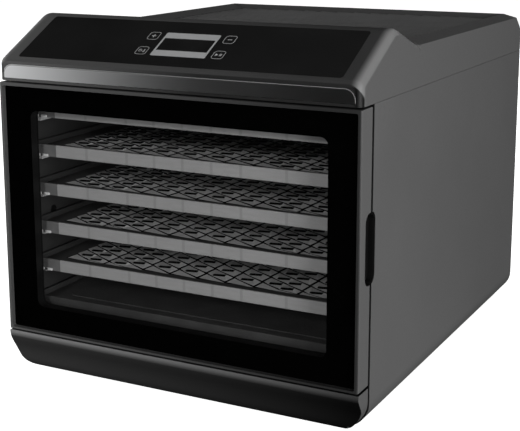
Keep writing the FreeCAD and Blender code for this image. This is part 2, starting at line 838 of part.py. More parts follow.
def door_frame():
    """Door moulding: thin rim round the glass, window opening, hollow back."""
    body = body_named("door_frame")
    pad(body, "XZ", front, door_back,
        box(-half_width, half_width, d.door_bottom, d.door_top),
        box(-window_x, window_x, window_low, window_high, d.window_corner))
    round_edges(body, "Fillet", d.hinge_inset, lambda edge: parallel(edge, "z")
                and passes(edge, x=-half_width, y=door_back))
    round_edges(body, "Fillet", 1.5, lambda edge: parallel(edge, "z")
                and (passes(edge, x=-half_width, y=front) or passes(edge, x=half_width, y=front)))
    round_edges(body, "Fillet", 1.0, lambda edge: parallel(edge, "x")
                and edge.Length > d.case_width.value * 0.9 and passes(edge, y=front))
    rim = half_width - d.door_rim
    pocket(body, "XZ", front - 1.0, front + d.glass_thickness + 0.8,
           box(-rim, rim, d.door_bottom + d.door_rim_low, d.door_top - d.door_rim, 2.0))
    recess = half_width - 10.5
    pocket(body, "XZ", door_back - d.door_recess, door_back + 1.0,
           box(-recess, recess, d.door_bottom + 5.7, d.door_top - 6.5, 3.0))
    seal = recess + d.seal_width
    pocket(body, "XZ", door_back - d.seal_depth, door_back + 1.0,
           box(-seal, seal, d.door_bottom + 2.5, d.door_top - 3.3, 4.0))
    for low, high in bush_spans():
        pocket(body, "XY", low, high, circle(pivot_x, pivot_y, d.bush_radius))
    pocket(body, "YZ", half_width - 6.0, half_width + 1.0,
           box(front + d.pull_setback, door_back + 20.0, d.pull_bottom - 2.2, pull_top + 2.2,
               d.pull_corner))
    magnet_x = magnet_centre()
    pocket(body, "XZ", door_back - 5.0, door_back + 1.0,
           *[box(magnet_x - 2.0, magnet_x + 2.0, z - 12.0, z + 12.0) for z in magnet_heights()])
    return body


def bush_spans():
    """Lowest and highest points of the two hinge bushes."""
    return [(d.door_bottom, d.door_bottom + d.bush_length), (d.door_top - d.bush_length, d.door_top)]


def magnet_centre():
    """Distance of the door magnets from the middle plane."""
    return half_width - 4.0


def magnet_heights():
    """Heights of the two door magnets."""
    return [d.door_bottom + 45.0, d.door_top - 35.0]


def door_panes():
    """Glass pane, the black border printed behind it, and the inner window frame."""
    edge = half_width - d.door_rim - 0.3
    low = d.door_bottom + d.door_rim_low + 0.3
    high = d.door_top - d.door_rim - 0.3
    window = box(-window_x, window_x, window_low, window_high, d.window_corner)
    glass = body_named("door_glass")
    pad(glass, "XZ", front + 0.4, front + 0.4 + d.glass_thickness, box(-edge, edge, low, high, 1.8))
    mask = body_named("door_mask")
    mask_front = front + 0.4 + d.glass_thickness
    pad(mask, "XZ", mask_front, mask_front + 0.3, box(-edge, edge, low, high, 1.8), window)
    inner = body_named("door_inner_frame")
    seat = door_back - d.door_recess
    recess = half_width - 11.0
    pad(inner, "XZ", seat, seat + 2.0, box(-recess, recess, d.door_bottom + 6.2, d.door_top - 7.0, 2.5),
        window)


def door_seal():
    """Rubber strip round the back of the door."""
    body = body_named("door_seal")
    inner = half_width - 10.5
    outer = inner + d.seal_width - 0.1
    pad(body, "XZ", door_back - d.seal_depth, door_back + d.seal_proud,
        box(-outer, outer, d.door_bottom + 2.6, d.door_top - 3.4, 3.9),
        box(-inner, inner, d.door_bottom + 5.7, d.door_top - 6.5, 3.0))
    return body


def door_hardware():
    """Magnets in the door and the steel plates in the case that they hold to."""
    magnets = body_named("door_magnets")
    x = magnet_centre()
    pad(magnets, "XZ", door_back - 5.0, door_back - 0.8,
        *[box(x - 1.9, x + 1.9, z - 11.9, z + 11.9) for z in magnet_heights()])
    plates = body_named("catch_plates")
    pad(plates, "XZ", case_front + d.sheet, case_front + d.sheet + 1.5,
        *[box(x - 2.0, x + 1.6, z - 12.0, z + 12.0) for z in magnet_heights()])


def hinge_parts():
    """Bushes in the door, and the pins and plates that carry them."""
    parts = []
    for low, high in bush_spans():
        bush = body_named("hinge_bush", is_node=False)
        pad(bush, "XY", low, high, circle(pivot_x, pivot_y, d.bush_radius),
            circle(pivot_x, pivot_y, d.pin_radius + d.pin_clearance))
        parts.append(bush)
    group("hinge_bushes", parts)
    low_plate = lower_bracket()
    high_plate = d.hood_bottom + 2.5
    pins = cylinder_group("hinge_pins", [(pivot_x, pivot_y)], d.pin_radius,
                          low_plate, d.door_bottom + 4.6 - low_plate, "z")
    pins += cylinder_group("hinge_pins", [(pivot_x, pivot_y)], d.pin_radius,
                           d.door_top - 4.6, high_plate + 2.5 - d.door_top + 4.6, "z")
    group("hinge_pins", pins)
    brackets = []
    for level in (low_plate, high_plate):
        bracket = body_named("hinge_bracket", is_node=False)
        pad(bracket, "XY", level, level + 2.5,
            box(pivot_x - 5.0, pivot_x + 22.0, pivot_y - 6.0, case_front - 1.0),
            circle(pivot_x, pivot_y, d.pin_radius))
        brackets.append(bracket)
    group("hinge_brackets", brackets)


# ---------------------------------------------------------------- drying cavity


def tray_top(number):
    """Height of a tray's rim; tray 1 is the highest."""
    return d.tray_lowest_top + d.tray_pitch * (TRAY_COUNT - number)


def liner_side(side):
    """Cavity side wall with a rail under each tray."""
    body = body_named("liner_left" if side < 0 else "liner_right")
    start = case_front + d.sheet
    wall = d.cavity_half_width * side
    outer = (d.cavity_half_width + d.sheet) * side
    low, high = sorted((wall, outer), key=lambda size: size.value)
    pad(body, "YZ", low, high, box(start, cavity_back, d.cavity_floor, d.cavity_roof))
    rail_top = d.tray_lowest_top - d.tray_height - 0.3
    rail = (d.cavity_half_width - d.rail_depth) * side
    low, high = sorted((wall, rail), key=lambda size: size.value)
    ledge = pad(body, "YZ", low, high, box(start + 14.0, cavity_back, rail_top - d.rail_thickness,
                                           rail_top))
    repeat(body, ledge, "z", d.tray_pitch, TRAY_COUNT)
    return body


def rail_clips():
    """Small moulded stops under the front end of each rail."""
    parts = []
    start = case_front + d.sheet + 14.0
    for number in range(1, TRAY_COUNT + 1):
        top = tray_top(number) - d.tray_height - 0.3 - d.rail_thickness
        for side in (-1, 1):
            clip = doc.addObject("Part::Box", "rail_clip")
            bind(clip, "Length", 5.0)
            bind(clip, "Width", 18.0)
            bind(clip, "Height", 3.2)
            wall = d.cavity_half_width * side
            bind(clip, "Placement.Base.x", wall if side < 0 else wall - 5.0)
            bind(clip, "Placement.Base.y", start)
            bind(clip, "Placement.Base.z", top - 3.2)
            parts.append(clip)
    return group("rail_clips", parts)


def liner_plates():
    """Floor and roof of the cavity."""
    edge = d.cavity_half_width + d.sheet
    start = case_front + d.sheet
    plate("liner_floor", -edge, edge, start, cavity_back + d.sheet,
          d.cavity_floor - d.sheet, d.cavity_floor)
    plate("liner_top", -edge, edge, start, cavity_back + d.sheet,
          d.cavity_roof, d.cavity_roof + d.sheet)


def cavity_back_grille():
    """Back wall of the cavity with rows of air slots."""
    body = body_named("cavity_back_grille")
    edge = d.cavity_half_width + d.sheet
    pad(body, "XZ", cavity_back, cavity_back + d.sheet,
        box(-edge, edge, d.cavity_floor, d.cavity_roof))
    rows = [d.cavity_floor + 14.0 + 48.0 * row for row in range(4)]
    slot = pocket(body, "XZ", cavity_back - 1.0, cavity_back + 5.0,
                  *[box(-130.0, -126.0, low, low + 40.0, 1.9) for low in rows])
    repeat(body, slot, "x", 10.0, 27)
    return body


def tray(number):
    """Slide-in tray: a shallow pan with a slotted floor; the lowest one is the drip tray."""
    body = body_named(f"tray_{number}")
    top = tray_top(number)
    half = d.tray_width / 2
    start = front + d.tray_setback
    end = start + d.tray_length
    wall = d.tray_wall
    inside = box(wall - half, half - wall, start + wall, end - wall, d.tray_corner - wall)
    pad(body, "XY", top - d.tray_height, top, box(-half, half, start, end, d.tray_corner), inside)
    floor_top = top - d.tray_floor_drop
    pad(body, "XY", floor_top - d.tray_floor_thickness, floor_top, inside)
    if number == TRAY_COUNT:
        return body
    edge = half - d.tray_border
    row = start + d.tray_border
    slots = pocket(body, "XY", floor_top - 3.0, top, box(-edge, -6.0, row, row + 7.0),
                   box(6.0, edge, row, row + 7.0))
    repeat(body, slots, "y", 15.0, 18)
    return body


# ---------------------------------------------------------------- fan and heater


def fan_parts():
    """Shaft and fan wheel, which turn together."""
    shaft = body_named("motor_shaft")
    axis = circle(0.0, d.fan_height, d.shaft_radius)
    pad(shaft, "XZ", cavity_back + 22.0, cavity_back + 66.0, axis)
    wheel = body_named("fan_wheel")
    start = cavity_back + 24.0
    pad(wheel, "XZ", start, start + 16.0, circle(0.0, 0.0, 14.0), circle(0.0, 0.0, d.shaft_radius))
    blade = pad(wheel, "XZ", start + 2.0, start + 14.0, polygon(
        (10.0, -2.0), (d.fan_radius, 9.0), (d.fan_radius - 1.5, 12.0), (10.0, 1.5)))
    repeat_round(wheel, blade, "y", 9)
    bind(wheel, "Placement.Base.z", d.fan_height)


def motor_parts():
    """Motor with a blind shaft bore, and the strap that carries it."""
    start = cavity_back + 48.0
    motor = body_named("fan_motor")
    pad(motor, "XZ", start, start + d.motor_length, circle(0.0, d.fan_height, d.motor_radius))
    round_edges(motor, "Fillet", 3.0, lambda edge: edge.BoundBox.YLength < 0.1)
    pocket(motor, "XZ", start - 1.0, start + 20.0, circle(0.0, d.fan_height, d.shaft_radius + 0.05))
    strap = body_named("motor_bracket")
    pad(strap, "XZ", start - 2.0, start,
        box(-96.0, 96.0, d.fan_height - 12.0, d.fan_height + 12.0, 5.0),
        circle(0.0, d.fan_height, 9.0))
    for side in (-1, 1):
        low, high = sorted((side * 96.0, side * 88.0))
        pad(strap, "XZ", start - 8.0, start - 2.0,
            box(low, high, d.fan_height - 12.0, d.fan_height + 12.0))


def heater_parts():
    """Air ring with its flange, mica frame and two heating rings round the fan."""
    flange = cavity_back + 38.0
    shroud = body_named("fan_shroud")
    pad(shroud, "XZ", flange, flange + d.sheet,
        box(-158.0, 158.0, d.cavity_floor + 2.0, d.cavity_roof - 2.0, 6.0),
        circle(0.0, d.fan_height, d.fan_radius + 6.0))
    pad(shroud, "XZ", flange - 14.0, flange, circle(0.0, d.fan_height, d.fan_radius + 8.0),
        circle(0.0, d.fan_height, d.fan_radius + 6.0))
    frame = body_named("heater_frame")
    start = cavity_back + d.sheet
    ring_radius = 88.0
    pad(frame, "XZ", start, start + 1.5, circle(0.0, d.fan_height, ring_radius + 5.0),
        circle(0.0, d.fan_height, ring_radius - 8.0))
    pad(frame, "XZ", start + 1.5, start + 6.0,
        *[box(x - 4.0, x + 4.0, d.fan_height + z - 4.0, d.fan_height + z + 4.0)
          for x, z in ((ring_radius, 0.0), (-ring_radius, 0.0), (0.0, ring_radius), (0.0, -ring_radius))])
    coils = []
    for step in (0, 1):
        ring = doc.addObject("Part::Torus", "heating_ring")
        bind(ring, "Radius1", ring_radius)
        bind(ring, "Radius2", 3.0)
        ring.Placement.Rotation = FreeCAD.Rotation(AXES["x"], 90)
        bind(ring, "Placement.Base.y", start + 9.0 + 7.5 * step)
        bind(ring, "Placement.Base.z", d.fan_height)
        coils.append(ring)
    group("heating_rings", coils)
    cutout = body_named("thermal_cutout")
    pad(cutout, "XZ", flange + d.sheet, flange + d.sheet + 9.0, circle(112.0, 200.0, 8.0))
    sensor = body_named("temperature_sensor")
    pad(sensor, "XZ", cavity_back - 12.0, cavity_back, circle(-150.0, 250.0, 2.0))


def power_board():
    """Mains board standing on the floor of the rear compartment."""
    body = body_named("power_board")
    base = floor + d.sheet
    start = cavity_back + 14.0
    pad(body, "XY", base, base + 6.0,
        *[box(x, x + 5.0, y, y + 5.0) for x in (36.0, 109.0) for y in (start, start + 55.0)])
    pad(body, "XY", base + 6.0, base + 7.6, box(34.0, 116.0, start - 2.0, start + 62.0, 2.0))
    pad(body, "XY", base + 7.6, base + 25.0, box(44.0, 72.0, start + 10.0, start + 34.0))
    pad(body, "XY", base + 7.6, base + 20.0, circle(92.0, start + 20.0, 8.0))
    return body


# ---------------------------------------------------------------- assembly


def build():
    """Make every piece."""
    side_panel(-1)
    side_panel(1)
    bottom_plate()
    front_frame()
    base_front()
    hood()
    hood_underplate()
    hood_front_trim()
    top_grille()
    rear_panel()
    rear_vent_cover()
    cord_gland()
    feet()
    case_screws()
    screw_caps()
    pull_recess_cup()
    control_overlay()
    display_parts()
    keys()
    control_boards()
    door_frame()
    door_panes()
    door_seal()
    door_hardware()
    hinge_parts()
    liner_side(-1)
    liner_side(1)
    rail_clips()
    liner_plates()
    cavity_back_grille()
    for number in range(1, TRAY_COUNT + 1):
        tray(number)
    fan_parts()
    motor_parts()
    heater_parts()
    power_board()


def check_and_write():
    """Stop on any failed feature or bad solid, then write one file for each node."""
    doc.recompute()
    for item in doc.Objects:
        if "Invalid" in item.State or "Error" in item.State:
            raise RuntimeError(f"{item.Name} failed: {item.State}")
    os.makedirs("parts", exist_ok=True)
    for node in nodes:
        shape = node.Shape
        if shape.isNull() or not shape.isValid() or not shape.Solids:
            raise RuntimeError(f"{node.Label} has a bad shape")
        shape.exportStep(f"parts/{node.Label}.step")
        size = shape.BoundBox
        print(f"{node.Label}: {len(shape.Solids)} solids, "
              f"x {size.XMin:.1f} {size.XMax:.1f}, y {size.YMin:.1f} {size.YMax:.1f}, "
              f"z {size.ZMin:.1f} {size.ZMax:.1f}, {shape.Volume / 1000:.1f} cm3")


build()
check_and_write()
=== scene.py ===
"""Looks of the cabinet food dehydrator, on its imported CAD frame.

Lengths are in metres in the row frame: +X to the right seen from the front, +Y to the back,
+Z up, with the origin on the surface that the feet stand on.
"""

import json
import math

import bmesh
import bpy
from mathutils import Matrix, Vector


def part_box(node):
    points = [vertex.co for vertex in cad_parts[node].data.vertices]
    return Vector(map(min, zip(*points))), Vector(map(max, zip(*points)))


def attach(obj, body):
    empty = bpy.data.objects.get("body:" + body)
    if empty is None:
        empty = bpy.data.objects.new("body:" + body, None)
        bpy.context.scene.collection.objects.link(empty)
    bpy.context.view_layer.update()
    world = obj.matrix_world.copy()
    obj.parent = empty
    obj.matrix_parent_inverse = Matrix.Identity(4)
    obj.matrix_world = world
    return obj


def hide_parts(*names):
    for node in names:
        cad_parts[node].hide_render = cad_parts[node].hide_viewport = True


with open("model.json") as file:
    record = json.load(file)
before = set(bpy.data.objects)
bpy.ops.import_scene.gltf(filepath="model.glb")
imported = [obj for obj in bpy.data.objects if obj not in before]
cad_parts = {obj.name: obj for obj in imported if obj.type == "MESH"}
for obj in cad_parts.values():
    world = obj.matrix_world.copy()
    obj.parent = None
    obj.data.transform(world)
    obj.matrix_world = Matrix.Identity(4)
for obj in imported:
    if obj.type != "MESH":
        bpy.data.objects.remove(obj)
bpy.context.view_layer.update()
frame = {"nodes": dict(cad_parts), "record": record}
nodes = frame["nodes"]
scene = bpy.context.scene


# ---------------------------------------------------------------- materials
def new_material(name):
    """A material with its tree, its Principled shader and its object coordinates."""
    material = bpy.data.materials.new(name)
    material.use_nodes = True
    tree = material.node_tree
    place = tree.nodes.new("ShaderNodeTexCoord").outputs["Object"]
    return material, tree, tree.nodes["Principled BSDF"], place


def noise(tree, place, size, detail=3.0, stretch=None):
    """Noise whose features are about size metres, drawn out along the stretched axes."""
    if stretch:
        mapping = tree.nodes.new("ShaderNodeMapping")
        mapping.inputs["Scale"].default_value = stretch
        tree.links.new(place, mapping.inputs["Vector"])
        place = mapping.outputs["Vector"]
    texture = tree.nodes.new("ShaderNodeTexNoise")
    texture.inputs["Scale"].default_value = 1.0 / size
    texture.inputs["Detail"].default_value = detail
    tree.links.new(place, texture.inputs["Vector"])
    return texture.outputs["Fac"]


def remap(tree, value, low, high, out_low, out_high):
    """Linear change of range, clamped."""
    node = tree.nodes.new("ShaderNodeMapRange")
    for name, number in (("From Min", low), ("From Max", high), ("To Min", out_low),
                         ("To Max", out_high)):
        node.inputs[name].default_value = number
    tree.links.new(value, node.inputs["Value"])
    return node.outputs["Result"]


def ramp(tree, value, *stops):
    """Colour ramp through (position, colour) stops."""
    node = tree.nodes.new("ShaderNodeValToRGB")
    elements = node.color_ramp.elements
    while len(elements) < len(stops):
        elements.new(0.5)
    for element, (position, colour) in zip(elements, stops):
        element.position = position
        element.color = (*colour, 1.0)
    tree.links.new(value, node.inputs["Fac"])
    return node.outputs["Color"]


def shade(colour, factor):
    return tuple(channel * factor for channel in colour)


def grey(level, tint=0.0):
    """Grey of linear level, a little cooler with a positive tint."""
    return (level * (1 - tint), level, level * (1 + tint))


def surface(name, colour, rough, specular=0.5, metallic=0.0, mottle=0.10, mottle_size=0.03,
            grain=0.0, grain_size=0.0007, rough_spread=0.05, stretch=None, **sockets):
    """Moulded or sheet material: cloudy colour, uneven gloss and a fine relief."""
    material, tree, shader, place = new_material(name)
    cloud = noise(tree, place, mottle_size, 4.0)
    tree.links.new(ramp(tree, cloud, (0.3, shade(colour, 1 - mottle)), (0.7, shade(colour, 1 + mottle))),
                   shader.inputs["Base Color"])
    fine = noise(tree, place, grain_size, 2.0, stretch)
    tree.links.new(remap(tree, fine, 0.3, 0.7, rough - rough_spread, rough + rough_spread),
                   shader.inputs["Roughness"])
    if grain:
        bump = tree.nodes.new("ShaderNodeBump")
        bump.inputs["Strength"].default_value = grain
        bump.inputs["Distance"].default_value = grain_size * 0.3
        tree.links.new(fine, bump.inputs["Height"])
        tree.links.new(bump.outputs["Normal"], shader.inputs["Normal"])
    shader.inputs["Metallic"].default_value = metallic
    shader.inputs["Specular IOR Level"].default_value = specular
    for socket, number in sockets.items():
        shader.inputs[socket.replace("_", " ")].default_value = number
    return material


def math_node(tree, operation, *inputs):
    """A math node fed by sockets or numbers."""
    node = tree.nodes.new("ShaderNodeMath")
    node.operation = operation
    for socket, value in zip(node.inputs, inputs):
        if isinstance(value, (int, float)):
            socket.default_value = value
        else:
            tree.links.new(value, socket)
    return node.outputs[0]


def paint_where(material, choose, colour):
    """Paints colour over the base colour where choose(tree, x, y, z) gives 1."""
    tree = material.node_tree
    place = next(node for node in tree.nodes if node.type == "TEX_COORD").outputs["Object"]
    split = tree.nodes.new("ShaderNodeSeparateXYZ")
    tree.links.new(place, split.inputs["Vector"])
    mask = choose(tree, *split.outputs)
    base = tree.nodes["Principled BSDF"].inputs["Base Color"]
    mix = tree.nodes.new("ShaderNodeMix")
    mix.data_type = "RGBA"
    tree.links.new(mask, mix.inputs["Factor"])
    tree.links.new(base.links[0].from_socket, mix.inputs["A"])
    mix.inputs["B"].default_value = (*colour, 1.0)
    tree.links.new(mix.outputs["Result"], base)
    return material


def painted(material, *coats):
    """Paints several coats, each of a chooser and a colour, one over the other."""
    for choose, colour in coats:
        paint_where(material, choose, colour)
    return material


def product(tree, first, *others):
    """Product of several masks."""
    for other in others:
        first = math_node(tree, "MULTIPLY", first, other)
    return first


def beyond(tree, x, limit):
    """Both sides of the object, farther than limit from its middle plane."""
    return math_node(tree, "GREATER_THAN", math_node(tree, "ABSOLUTE", x), limit)


def within(tree, x, limit):
    """The middle of the object, nearer than limit to its middle plane."""
    return math_node(tree, "LESS_THAN", math_node(tree, "ABSOLUTE", x), limit)


def door_inside(tree, x, y, z):
    """The parts of the door moulding behind its outer rim."""
    low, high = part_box("door_frame")
    rim, rim_below, lip = 0.0035, 0.0027, 0.0008
    above = math_node(tree, "GREATER_THAN", z, low.z + rim_below)
    below = math_node(tree, "LESS_THAN", z, high.z - rim)
    behind = math_node(tree, "GREATER_THAN", y, low.y + lip)
    return product(tree, within(tree, x, high.x - rim), behind, above, below)


def outer_sides(tree, x, y, z):
    """The flat outer sides of the case, kept in the case's colour where the hood's and door's fronts are
    painted darker as shade.
    """
    return beyond(tree, x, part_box("hood")[1].x - 0.0002)


def case_seams(tree, x, y, z):
    """The shadowed edge of the case beside the door."""
    seam = 0.0026
    return math_node(tree, "LESS_THAN", y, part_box("side_panel_right")[0].y + seam)


def painted_light_leftward(tree, x, y, z):
    """Painted light that grows from the right of the front to its left."""
    return remap(tree, x, -0.170, 0.130, 1.0, 0.0)


def hood_roof(tree, x, y, z):
    """The roof of the hood behind the notch."""
    return math_node(tree, "GREATER_THAN", y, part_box("hood")[0].y + 0.1225)


def hood_cheek(tree, x, y, z):
    """The rounded side edges behind the ridge, down to the notch below the roof's bevel."""
    low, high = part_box("hood")
    rounding, ridge, notch = 0.0072, low.y + 0.0740, low.y + 0.1249
    above_ridge, bevel_bottom = 0.3600, 0.3064
    behind = math_node(tree, "GREATER_THAN", y, ridge)
    under = math_node(tree, "LESS_THAN", z, remap(tree, y, ridge, notch, above_ridge, bevel_bottom))
    return product(tree, beyond(tree, x, high.x - rounding), behind, under)


def painted_shoulder_highlight(tree, x, y, z):
    """Painted highlight along the rounded long edges of the control slope."""
    return remap(tree, math_node(tree, "ABSOLUTE", x), 0.1628, 0.1692, 0.0, 1.0)


def hood_fascia(tree, x, y, z):
    """The upright front of the hood round the trim, with rounded upper corners."""
    low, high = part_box("hood")
    radius, soft_edge, depth, over_trim = 0.0125, 0.0006, 0.0080, 0.0030
    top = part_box("hood_front_trim")[1].z + over_trim
    out = math_node(tree, "SUBTRACT", math_node(tree, "ABSOLUTE", x), high.x - radius)
    over = math_node(tree, "SUBTRACT", z, top - radius)
    out, over = math_node(tree, "MAXIMUM", out, 0.0), math_node(tree, "MAXIMUM", over, 0.0)
    squares = math_node(tree, "ADD", product(tree, out, out), product(tree, over, over))
    distance = math_node(tree, "SQRT", squares)
    near = math_node(tree, "LESS_THAN", y, low.y + depth)
    return product(tree, near, remap(tree, distance, radius - soft_edge, radius, 1.0, 0.0))


def fascia_end_shade(tree, x, y, z):
    """Painted shade on the turned right end of the upright front of the hood."""
    return product(tree, hood_fascia(tree, x, y, z), remap(tree, x, 0.1650, 0.1675, 0.0, 1.0))


def fascia_left_light(tree, x, y, z):
    """Painted light on the left part of the upright front of the hood, growing toward its left end."""
    return product(tree, hood_fascia(tree, x, y, z), remap(tree, x, -0.17, 0.03, 1.0, 0.0))


def base_lip(tree, x, y, z):
    """The lit upper edge of the base front, fading downward and to the right."""
    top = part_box("base_front")[1].z
    rise = remap(tree, z, top - 0.0062, top - 0.0015, 0.0, 1.0)
    return product(tree, rise, remap(tree, x, -0.17, 0.17, 1.0, 0.16))


def painted_light_base_left(tree, x, y, z):
    """Painted light that grows from the right of the base front to its left."""
    return remap(tree, x, -0.17, 0.17, 1.0, 0.0)


def base_gap(tree, x, y, z):
    """The top of the base front, in the shadow of the door."""
    low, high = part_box("base_front")
    lip, skin = 0.0010, 0.0007
    inner = math_node(tree, "GREATER_THAN", y, low.y + lip)
    return product(tree, inner, math_node(tree, "GREATER_THAN", z, high.z - skin))


def base_cheek(tree, x, y, z):
    """The base behind the curved edge of its black face."""
    low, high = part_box("base_front")
    corner = 0.0130
    edge = remap(tree, z, high.z - 0.0190, high.z - 0.0055, low.y + 0.0106, low.y + 0.0018)
    return product(tree, beyond(tree, x, high.x - corner), math_node(tree, "GREATER_THAN", y, edge))


def trim_ends(tree, x, y, z):
    """The turned ends of the trim strip."""
    return beyond(tree, x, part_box("hood_front_trim")[1].x - 0.0012)


def dimming_reflection_rightward(tree, x, y, z):
    """Painted reflection: grows from the left of the trim strip to its right, dimming the strip there."""
    return remap(tree, x, -0.16, 0.10, 0.0, 1.0)


def lighter_reflection_far_right(tree, x, y, z):
    """Painted reflection, lighter on the right half of the trim strip."""
    return remap(tree, x, 0.020, 0.080, 0.0, 1.0)


def slide_rails(tree, x, y, z):
    """The rails that stand out from the sides of the cavity."""
    return within(tree, x, 0.1628)


def tray_front_material(name):
    """Smoky plastic of the tray fronts, with the darker marks of the ribs behind it."""
    material, tree, shader, place = new_material(name)
    cloud = noise(tree, place, 0.02, 3.0, (1.0, 1.0, 8.0))
    tree.links.new(ramp(tree, cloud, (0.3, shade(TRAY_FRONT, 0.95)), (0.7, shade(TRAY_FRONT, 1.05))),
                   shader.inputs["Base Color"])
    tree.links.new(remap(tree, cloud, 0.3, 0.7, 0.28, 0.36), shader.inputs["Roughness"])
    shader.inputs["Specular IOR Level"].default_value = 0.3
    return paint_where(material, rib_marks, shade(TRAY_FRONT, 0.84))


def rib_marks(tree, x, y, z):
    """Where the ribs of the tray floor meet its front wall."""
    across = math_node(tree, "ABSOLUTE", x)
    half_width, marked = 0.0013, 0.0
    for centre in (0.0, 0.028, 0.056, 0.098):
        mark = math_node(tree, "COMPARE", across, centre, half_width)
        marked = math_node(tree, "MAXIMUM", marked, mark)
    return marked


TRAY_FRONT = grey(0.27)
CASE = grey(0.105)
# Dark grey of the door's front: painted shade.
FRONT_SHADE = grey(0.020)
MATERIALS = {
    "case_shell": paint_where(surface("case_shell", CASE, 0.50, 0.35, grain=0.25, mottle=0.05,
                                      mottle_size=0.12), case_seams, grey(0.003)),
    # Hood: front and top faces painted darker than the sides as shade, painted light toward the left, a
    # painted highlight on the slope's long edges, painted shade on the fascia's right end.
    "hood_plastic": painted(surface("hood_plastic", grey(0.028), 0.46, 0.18, grain=0.22, mottle=0.05),
                            (painted_light_leftward, grey(0.058)), (painted_shoulder_highlight, grey(0.150)),
                            (hood_fascia, grey(0.016)), (fascia_left_light, grey(0.090)),
                            (fascia_end_shade, grey(0.003)),
                            (hood_roof, grey(0.050)), (hood_cheek, grey(0.108)),
                            (outer_sides, CASE)),
    # Door: front painted darker than the sides as shade, with painted light toward the left.
    "door_plastic": painted(surface("door_plastic", FRONT_SHADE, 0.44, 0.35, grain=0.20, mottle=0.05),
                            (painted_light_leftward, grey(0.085)), (outer_sides, CASE), (door_inside, grey(0.004))),
    "black_plastic": surface("black_plastic", grey(0.005), 0.50, 0.12, grain=0.2),
    # Black base face with painted light toward its left; the highlight on its upper edge and the shade
    # under the door are painted too.
    "base_gloss": painted(surface("base_gloss", grey(0.003), 0.34, 0.35, grain=0.05, rough_spread=0.02),
                          (painted_light_base_left, grey(0.034)), (base_lip, grey(0.20)), (base_cheek, CASE),
                          (base_gap, grey(0.002))),
    # Metal with its reflection painted into its colour: bright at the left, dimmer toward the right,
    # lighter again at the far right.
    "bright_trim": painted(surface("bright_trim", grey(0.66, 0.01), 0.30, 0.5, 1.0, mottle=0.01,
                                   rough_spread=0.004),
                           (dimming_reflection_rightward, grey(0.16)), (lighter_reflection_far_right, grey(0.38)),
                           (trim_ends, grey(0.02))),
    "grille_plastic": surface("grille_plastic", grey(0.060), 0.62, 0.35, grain=0.2),
    "rubber": surface("rubber", grey(0.018), 0.75, 0.25, grain=0.5, grain_size=0.0012),
    "screw_steel": surface("screw_steel", grey(0.45), 0.30, 0.5, 1.0, mottle=0.08, mottle_size=0.004),
    "overlay_gloss": surface("overlay_gloss", grey(0.0090), 0.20, 0.12, mottle=0.15, mottle_size=0.05,
                             rough_spread=0.02),
    "display_silver": surface("display_silver", grey(0.58, 0.01), 0.40, 0.5, 0.5, mottle=0.04,
                              grain=0.15, stretch=(0.05, 1.0, 1.0)),
    "display_dark": surface("display_dark", grey(0.0090), 0.15, 0.1, mottle=0.2, mottle_size=0.02),
    "key_gloss": surface("key_gloss", grey(0.0090), 0.25, 0.12, mottle=0.1, mottle_size=0.01),
    "circuit_board": surface("circuit_board", (0.02, 0.10, 0.04), 0.45, 0.4, mottle=0.25,
                             mottle_size=0.006),
    "mask_print": surface("mask_print", grey(0.0006), 0.60, 0.0, mottle=0.2, mottle_size=0.02),
    "magnet": surface("magnet", grey(0.06), 0.60, 0.4, mottle=0.2, mottle_size=0.003, grain=0.4),
    "sheet_steel": surface("sheet_steel", grey(0.30, 0.02), 0.38, 0.5, 0.9, mottle=0.15,
                           mottle_size=0.012, grain=0.1),
    "bush_brass": surface("bush_brass", (0.50, 0.36, 0.14), 0.35, 0.5, 0.9, mottle=0.1, mottle_size=0.003),
    "pin_steel": surface("pin_steel", grey(0.45), 0.25, 0.5, 1.0, mottle=0.05, mottle_size=0.003,
                         grain=0.1, stretch=(1.0, 1.0, 0.1)),
    "liner_plastic": paint_where(surface("liner_plastic", grey(0.034), 0.42, 0.35, grain=0.15),
                                 slide_rails, grey(0.012)),
    "clip_plastic": surface("clip_plastic", grey(0.55), 0.25, 0.5, mottle=0.05, mottle_size=0.005),
    "tray_plastic": surface("tray_plastic", grey(0.55), 0.30, 0.35, mottle=0.06, mottle_size=0.01,
                            grain=0.1),
    "motor_steel": surface("motor_steel", grey(0.40), 0.35, 0.5, 1.0, mottle=0.1, mottle_size=0.008,
                           grain=0.1, stretch=(1.0, 0.1, 1.0)),
    "mica": surface("mica", (0.45, 0.40, 0.30), 0.50, 0.4, mottle=0.2, mottle_size=0.004, grain=0.2),
    "heater_steel": surface("heater_steel", grey(0.10), 0.50, 0.5, 0.8, mottle=0.3, mottle_size=0.004),
    "door_glass": surface("door_glass", grey(0.002), 0.05, 0.04, mottle=0.1, mottle_size=0.1,
                          rough_spread=0.01, Alpha=0.07),
}
TRAY_FRONT_LOOK = tray_front_material("tray_front")
TRAY_CLEAR = surface("tray_clear", grey(0.14), 0.22, 0.4, mottle=0.1, mottle_size=0.01, Alpha=0.80)
# Darker copy of the tray plastic: painted shade on the tray walls and the plain border of the floor.
TRAY_EDGE_SHADE = surface("tray_wall_shade", grey(0.045), 0.34, 0.3, mottle=0.1, mottle_size=0.01)
DRIP_TRAY = surface("drip_tray", grey(0.045), 0.30, 0.4, mottle=0.15, mottle_size=0.02)
# Light grey of the rod along the trim's edge: a painted highlight.
TRIM_HIGHLIGHT = surface("trim_highlight", grey(0.20), 0.45, 0.3, mottle=0.04, mottle_size=0.01)
# Near black: painted shade on the tray ribs, slanting bars, slat sides and slot walls.
WEB_SHADE = surface("tray_web", grey(0.003), 0.60, 0.05, mottle=0.1, mottle_size=0.01)
PRINT = surface("print", grey(0.34), 0.45, 0.3, mottle=0.04, mottle_size=0.002)

for part in frame["record"]["subparts"]:
    node = nodes[part["node"]]
    node.data.materials.clear()
    node.data.materials.append(MATERIALS[part["material_slot"]])


